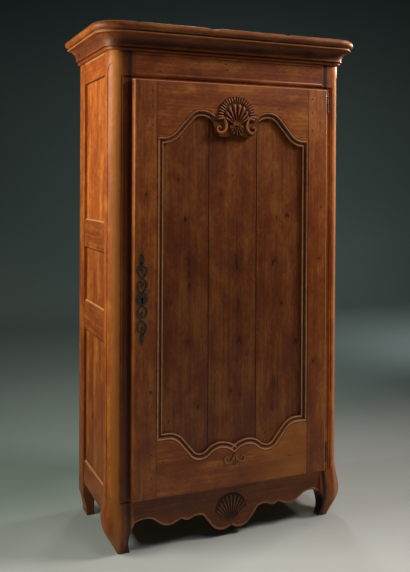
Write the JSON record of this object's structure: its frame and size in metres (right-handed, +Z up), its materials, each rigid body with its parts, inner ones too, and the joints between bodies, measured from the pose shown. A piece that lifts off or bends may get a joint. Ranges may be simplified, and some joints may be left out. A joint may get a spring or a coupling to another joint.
{
  "type": "bonnetiere cupboard",
  "caption": "Tall single-door cupboard with rounded front posts, a moulded cornice, a shaped moulded door panel, a scalloped apron and short curved feet.",
  "frame": {"origin": "on the floor, at the middle of the box around the whole cupboard", "axes": "+X to the right as one faces the door, +Y from the front to the back, +Z up"},
  "size_m": [1.188, 0.56, 2.088],
  "materials": {
    "waxed_fruitwood": "waxed and polished old fruitwood, warm reddish brown",
    "panel_boards": "waxed old fruitwood boards, with knots",
    "plain_oak": "plain sawn and planed oak, unpolished",
    "oak_pegs": "cut end grain, darkened",
    "forged_iron": "hand forged iron, blackened"
  },
  "bodies": {
    "carcass": {"apron_rail": "waxed_fruitwood", "back_board_1": "plain_oak", "back_board_2": "plain_oak", "back_board_3": "plain_oak", "back_board_4": "plain_oak", "back_rail_foot": "plain_oak", "back_rail_top": "plain_oak", "cornice_back": "plain_oak", "cornice_front": "waxed_fruitwood", "cornice_left": "waxed_fruitwood", "cornice_right": "waxed_fruitwood", "floor_bearer_left": "plain_oak", "floor_bearer_right": "plain_oak", "floor_board_front": "plain_oak", "floor_board_rear": "plain_oak", "frame_pegs": "oak_pegs", "frieze_rail": "waxed_fruitwood", "front_post_left": "waxed_fruitwood", "front_post_right": "waxed_fruitwood", "hinge_post_leaf_high": "forged_iron", "hinge_post_leaf_low": "forged_iron", "lock_keeper": "forged_iron", "rear_post_left": "waxed_fruitwood", "rear_post_right": "waxed_fruitwood", "roof_board_front": "plain_oak", "roof_board_rear": "plain_oak", "shelf_high": "plain_oak", "shelf_high_bearer_left": "plain_oak", "shelf_high_bearer_right": "plain_oak", "shelf_low": "plain_oak", "shelf_low_bearer_left": "plain_oak", "shelf_low_bearer_right": "plain_oak", "side_panel_high_left": "waxed_fruitwood", "side_panel_high_right": "waxed_fruitwood", "side_panel_low_left": "waxed_fruitwood", "side_panel_low_right": "waxed_fruitwood", "side_panel_middle_left": "waxed_fruitwood", "side_panel_middle_right": "waxed_fruitwood", "side_rail_foot_left": "waxed_fruitwood", "side_rail_foot_right": "waxed_fruitwood", "side_rail_lower_left": "waxed_fruitwood", "side_rail_lower_right": "waxed_fruitwood", "side_rail_top_left": "waxed_fruitwood", "side_rail_top_right": "waxed_fruitwood", "side_rail_upper_left": "waxed_fruitwood", "side_rail_upper_right": "waxed_fruitwood"},
    "door": {"door_bottom_rail": "waxed_fruitwood", "door_hinge_stile": "waxed_fruitwood", "door_lock_stile": "waxed_fruitwood", "door_panel_left": "panel_boards", "door_panel_middle": "panel_boards", "door_panel_right": "panel_boards", "door_pegs": "oak_pegs", "door_top_rail": "waxed_fruitwood", "hinge_door_leaf_high": "forged_iron", "hinge_door_leaf_low": "forged_iron", "lock_case": "forged_iron", "lock_plate": "forged_iron"},
    "bolt": {"lock_bolt": "forged_iron"}
  },
  "joints": [
    {"name": "door_swing", "type": "hinge", "parent": "carcass", "child": "door", "pos_m": [0.446, -0.227, 1.05], "axis": [0, 0, 1], "range_deg": [0, 170]},
    {"name": "bolt_throw", "type": "slide", "parent": "door", "child": "bolt", "axis": [-1, 0, 0], "range_m": [0, 0.012]}
  ]
}
